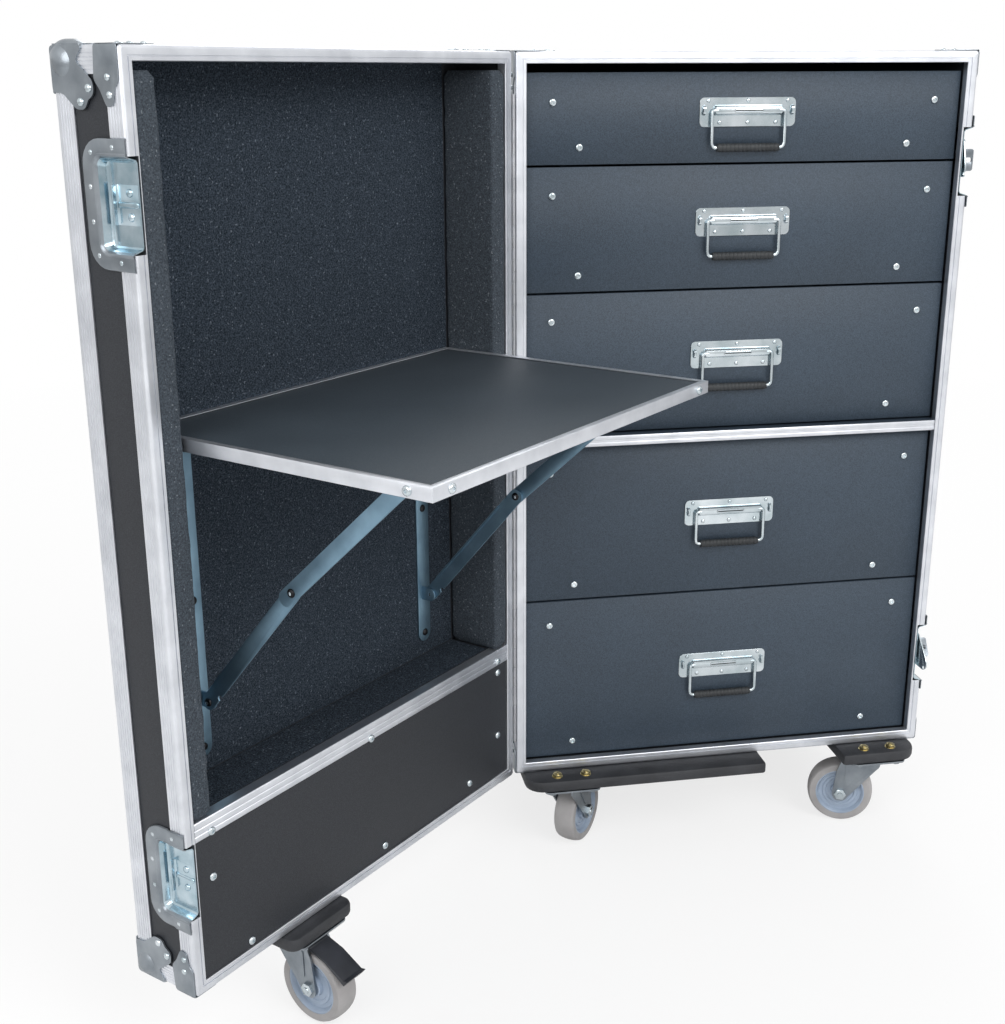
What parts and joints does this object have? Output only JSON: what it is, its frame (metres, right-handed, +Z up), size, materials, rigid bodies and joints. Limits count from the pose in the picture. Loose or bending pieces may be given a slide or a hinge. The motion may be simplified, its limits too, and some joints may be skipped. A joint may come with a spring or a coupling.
{
  "type": "road case with drawers",
  "caption": "Upright wheeled road case with stacked drawers and a hinged door-lid holding a folding work shelf on two folding brackets.",
  "frame": {"origin": "floor level, under the middle of the overall box", "axes": "+Z up, the work shelf's normal; the drawer fronts face -Y; +X runs to the right along the drawer fronts"},
  "size_m": [1.1758, 1.1276, 1.167],
  "materials": {
    "laminate": "satin black laminate on plywood",
    "edging_aluminium": "satin",
    "zinc": "bright zinc plating",
    "hinge_steel": "dull",
    "lining_foam": "granular grey carpet",
    "bracket_steel": "satin",
    "caster_tyre": "matte",
    "black_board": "matte"
  },
  "bodies": {
    "case": {"case_left_side": "laminate", "case_right_side": "laminate", "case_top": "laminate", "case_bottom": "laminate", "case_back": "laminate", "case_divider": "laminate", "case_front_frame": "edging_aluminium", "case_rear_frame": "edging_aluminium", "case_caster_board": "black_board", "hinge_case_leaf": "hinge_steel", "latch_dish_upper": "zinc", "latch_dish_lower": "zinc"},
    "lid": {"lid_shell": "laminate", "lid_front_frame": "edging_aluminium", "lid_rear_frame": "edging_aluminium", "lid_hinge_lining": "lining_foam", "lid_latch_lining": "lining_foam", "lid_fascia": "laminate", "lid_keeper_dish_upper": "zinc", "lid_keeper_dish_lower": "zinc", "lid_caster_board": "black_board", "hinge_lid_leaf": "hinge_steel", "bracket_wall_leg_hinge": "bracket_steel", "bracket_wall_leg_latch": "bracket_steel"},
    "shelf": {"shelf_board": "laminate", "shelf_edging": "edging_aluminium"},
    "bracket_lower_link_hinge": {"bracket_lower_link_hinge": "bracket_steel"},
    "bracket_upper_link_hinge": {"bracket_upper_link_hinge": "bracket_steel"},
    "bracket_lower_link_latch": {"bracket_lower_link_latch": "bracket_steel"},
    "bracket_upper_link_latch": {"bracket_upper_link_latch": "bracket_steel"},
    "drawer_1": {"drawer_1": "laminate", "handle_plate_1": "zinc"},
    "handle_bail_1": {"handle_bail_1": "zinc"},
    "drawer_2": {"drawer_2": "laminate", "handle_plate_2": "zinc"},
    "handle_bail_2": {"handle_bail_2": "zinc"},
    "drawer_3": {"drawer_3": "laminate", "handle_plate_3": "zinc"},
    "handle_bail_3": {"handle_bail_3": "zinc"},
    "drawer_4": {"drawer_4": "laminate", "handle_plate_4": "zinc"},
    "handle_bail_4": {"handle_bail_4": "zinc"},
    "drawer_5": {"drawer_5": "laminate", "handle_plate_5": "zinc"},
    "handle_bail_5": {"handle_bail_5": "zinc"},
    "latch_rotor_upper": {"latch_rotor_upper": "zinc"},
    "latch_wing_upper": {"latch_wing_upper": "zinc"},
    "latch_rotor_lower": {"latch_rotor_lower": "zinc"},
    "latch_wing_lower": {"latch_wing_lower": "zinc"},
    "caster_fork_front_left": {"caster_fork_front_left": "zinc"},
    "caster_wheel_front_left": {"caster_wheel_front_left": "caster_tyre"},
    "caster_fork_front_right": {"caster_fork_front_right": "zinc"},
    "caster_wheel_front_right": {"caster_wheel_front_right": "caster_tyre"},
    "caster_fork_rear_left": {"caster_fork_rear_left": "zinc"},
    "caster_wheel_rear_left": {"caster_wheel_rear_left": "caster_tyre"},
    "caster_fork_rear_right": {"caster_fork_rear_right": "zinc"},
    "caster_wheel_rear_right": {"caster_wheel_rear_right": "caster_tyre"},
    "caster_fork_lid": {"caster_fork_lid": "zinc"},
    "caster_wheel_lid": {"caster_wheel_lid": "caster_tyre"},
    "caster_brake_pedal": {"caster_brake_pedal": "black_board"}
  },
  "joints": [
    {"name": "lid_hinge", "type": "hinge", "parent": "case", "child": "lid", "pos_m": [-0.07141, 0.07729, 0.651], "axis": [0, 0, -1], "range_deg": [-45, 43]},
    {"name": "shelf_fold", "type": "hinge", "parent": "lid", "child": "shelf", "pos_m": [-0.34181, -0.10435, 0.7545], "axis": [0.7022, 0.712, 0], "range_deg": [0, 90]},
    {"name": "lower_link_hinge", "type": "hinge", "parent": "lid", "child": "bracket_lower_link_hinge", "pos_m": [-0.19436, 0.04517, 0.448], "axis": [-0.7022, -0.712, 0], "range_deg": [0, 41.4]},
    {"name": "upper_link_hinge", "type": "hinge", "parent": "shelf", "child": "bracket_upper_link_hinge", "pos_m": [0.0164, -0.16266, 0.7545], "axis": [0.7022, 0.712, 0], "range_deg": [0, 42.8]},
    {"name": "lower_link_latch", "type": "hinge", "parent": "lid", "child": "bracket_lower_link_latch", "pos_m": [-0.48927, -0.25388, 0.448], "axis": [-0.7022, -0.712, 0], "range_deg": [0, 41.4]},
    {"name": "upper_link_latch", "type": "hinge", "parent": "shelf", "child": "bracket_upper_link_latch", "pos_m": [-0.27851, -0.46171, 0.7545], "axis": [0.7022, 0.712, 0], "range_deg": [0, 42.8]},
    {"name": "drawer_1_slide", "type": "slide", "parent": "case", "child": "drawer_1", "axis": [0, -1, 0], "range_m": [0, 0.35]},
    {"name": "handle_1_lift", "type": "hinge", "parent": "drawer_1", "child": "handle_bail_1", "pos_m": [0.24779, 0.08809, 1.08702], "axis": [-1, 0, 0], "range_deg": [0, 90], "stiffness_Nm_per_rad": 0.25},
    {"name": "drawer_2_slide", "type": "slide", "parent": "case", "child": "drawer_2", "axis": [0, -1, 0], "range_m": [0, 0.35]},
    {"name": "handle_2_lift", "type": "hinge", "parent": "drawer_2", "child": "handle_bail_2", "pos_m": [0.24779, 0.08809, 0.94376], "axis": [-1, 0, 0], "range_deg": [0, 90], "stiffness_Nm_per_rad": 0.25},
    {"name": "drawer_3_slide", "type": "slide", "parent": "case", "child": "drawer_3", "axis": [0, -1, 0], "range_m": [0, 0.085]},
    {"name": "handle_3_lift", "type": "hinge", "parent": "drawer_3", "child": "handle_bail_3", "pos_m": [0.24779, 0.08809, 0.7617], "axis": [-1, 0, 0], "range_deg": [0, 90], "stiffness_Nm_per_rad": 0.25},
    {"name": "drawer_4_slide", "type": "slide", "parent": "case", "child": "drawer_4", "axis": [0, -1, 0], "range_m": [0, 0.35]},
    {"name": "handle_4_lift", "type": "hinge", "parent": "drawer_4", "child": "handle_bail_4", "pos_m": [0.24779, 0.08809, 0.53066], "axis": [-1, 0, 0], "range_deg": [0, 90], "stiffness_Nm_per_rad": 0.25},
    {"name": "drawer_5_slide", "type": "slide", "parent": "case", "child": "drawer_5", "axis": [0, -1, 0], "range_m": [0, 0.35]},
    {"name": "handle_5_lift", "type": "hinge", "parent": "drawer_5", "child": "handle_bail_5", "pos_m": [0.24779, 0.08809, 0.291], "axis": [-1, 0, 0], "range_deg": [0, 90], "stiffness_Nm_per_rad": 0.25},
    {"name": "latch_upper_turn", "type": "hinge", "parent": "case", "child": "latch_rotor_upper", "pos_m": [0.55659, 0.10004, 1.016], "axis": [-1, 0, 0], "range_deg": [0, 180]},
    {"name": "latch_upper_wing_fold", "type": "hinge", "parent": "latch_rotor_upper", "child": "latch_wing_upper", "pos_m": [0.55989, 0.11304, 1.016], "axis": [0, 0, -1], "range_deg": [0, 90]},
    {"name": "latch_lower_turn", "type": "hinge", "parent": "case", "child": "latch_rotor_lower", "pos_m": [0.55659, 0.10004, 0.286], "axis": [-1, 0, 0], "range_deg": [-30, 150]},
    {"name": "latch_lower_wing_fold", "type": "hinge", "parent": "latch_rotor_lower", "child": "latch_wing_lower", "pos_m": [0.55989, 0.1113, 0.2795], "axis": [0, -0.5, -0.866], "range_deg": [0, 90]},
    {"name": "caster_front_left_swivel", "type": "hinge", "parent": "case", "child": "caster_fork_front_left", "pos_m": [0.01079, 0.09179, 0.1104], "axis": [0, 0, 1], "continuous": true},
    {"name": "caster_front_left_roll", "type": "hinge", "parent": "caster_fork_front_left", "child": "caster_wheel_front_left", "pos_m": [0.03357, 0.12094, 0.05], "axis": [-0.788, 0.6157, 0], "continuous": true},
    {"name": "caster_front_right_swivel", "type": "hinge", "parent": "case", "child": "caster_fork_front_right", "pos_m": [0.49279, 0.09179, 0.1104], "axis": [0, 0, 1], "continuous": true},
    {"name": "caster_front_right_roll", "type": "hinge", "parent": "caster_fork_front_right", "child": "caster_wheel_front_right", "pos_m": [0.45849, 0.10565, 0.05], "axis": [-0.3746, -0.9272, 0], "continuous": true},
    {"name": "caster_rear_left_swivel", "type": "hinge", "parent": "case", "child": "caster_fork_rear_left", "pos_m": [0.01079, 0.44979, 0.1104], "axis": [0, 0, 1], "continuous": true},
    {"name": "caster_rear_left_roll", "type": "hinge", "parent": "caster_fork_rear_left", "child": "caster_wheel_rear_left", "pos_m": [0.03357, 0.47894, 0.05], "axis": [-0.788, 0.6157, 0], "continuous": true},
    {"name": "caster_rear_right_swivel", "type": "hinge", "parent": "case", "child": "caster_fork_rear_right", "pos_m": [0.49279, 0.44979, 0.1104], "axis": [0, 0, 1], "continuous": true},
    {"name": "caster_rear_right_roll", "type": "hinge", "parent": "caster_fork_rear_right", "child": "caster_wheel_rear_right", "pos_m": [0.45849, 0.46365, 0.05], "axis": [-0.3746, -0.9272, 0], "continuous": true},
    {"name": "caster_lid_swivel", "type": "hinge", "parent": "lid", "child": "caster_fork_lid", "pos_m": [-0.40504, -0.21475, 0.1104], "axis": [0, 0, 1], "continuous": true},
    {"name": "caster_lid_roll", "type": "hinge", "parent": "caster_fork_lid", "child": "caster_wheel_lid", "pos_m": [-0.37934, -0.24137, 0.05], "axis": [0.7193, 0.6947, 0], "continuous": true},
    {"name": "caster_brake_press", "type": "hinge", "parent": "caster_fork_lid", "child": "caster_brake_pedal", "pos_m": [-0.37934, -0.24137, 0.105], "axis": [0.7193, 0.6947, 0], "range_deg": [0, 4.2]}
  ],
  "couplings": [
    {"joint": "lower_link_hinge", "follows": "shelf_fold", "ratio": 0.45889},
    {"joint": "upper_link_hinge", "follows": "shelf_fold", "ratio": 0.47333},
    {"joint": "lower_link_latch", "follows": "shelf_fold", "ratio": 0.45889},
    {"joint": "upper_link_latch", "follows": "shelf_fold", "ratio": 0.47333}
  ]
}
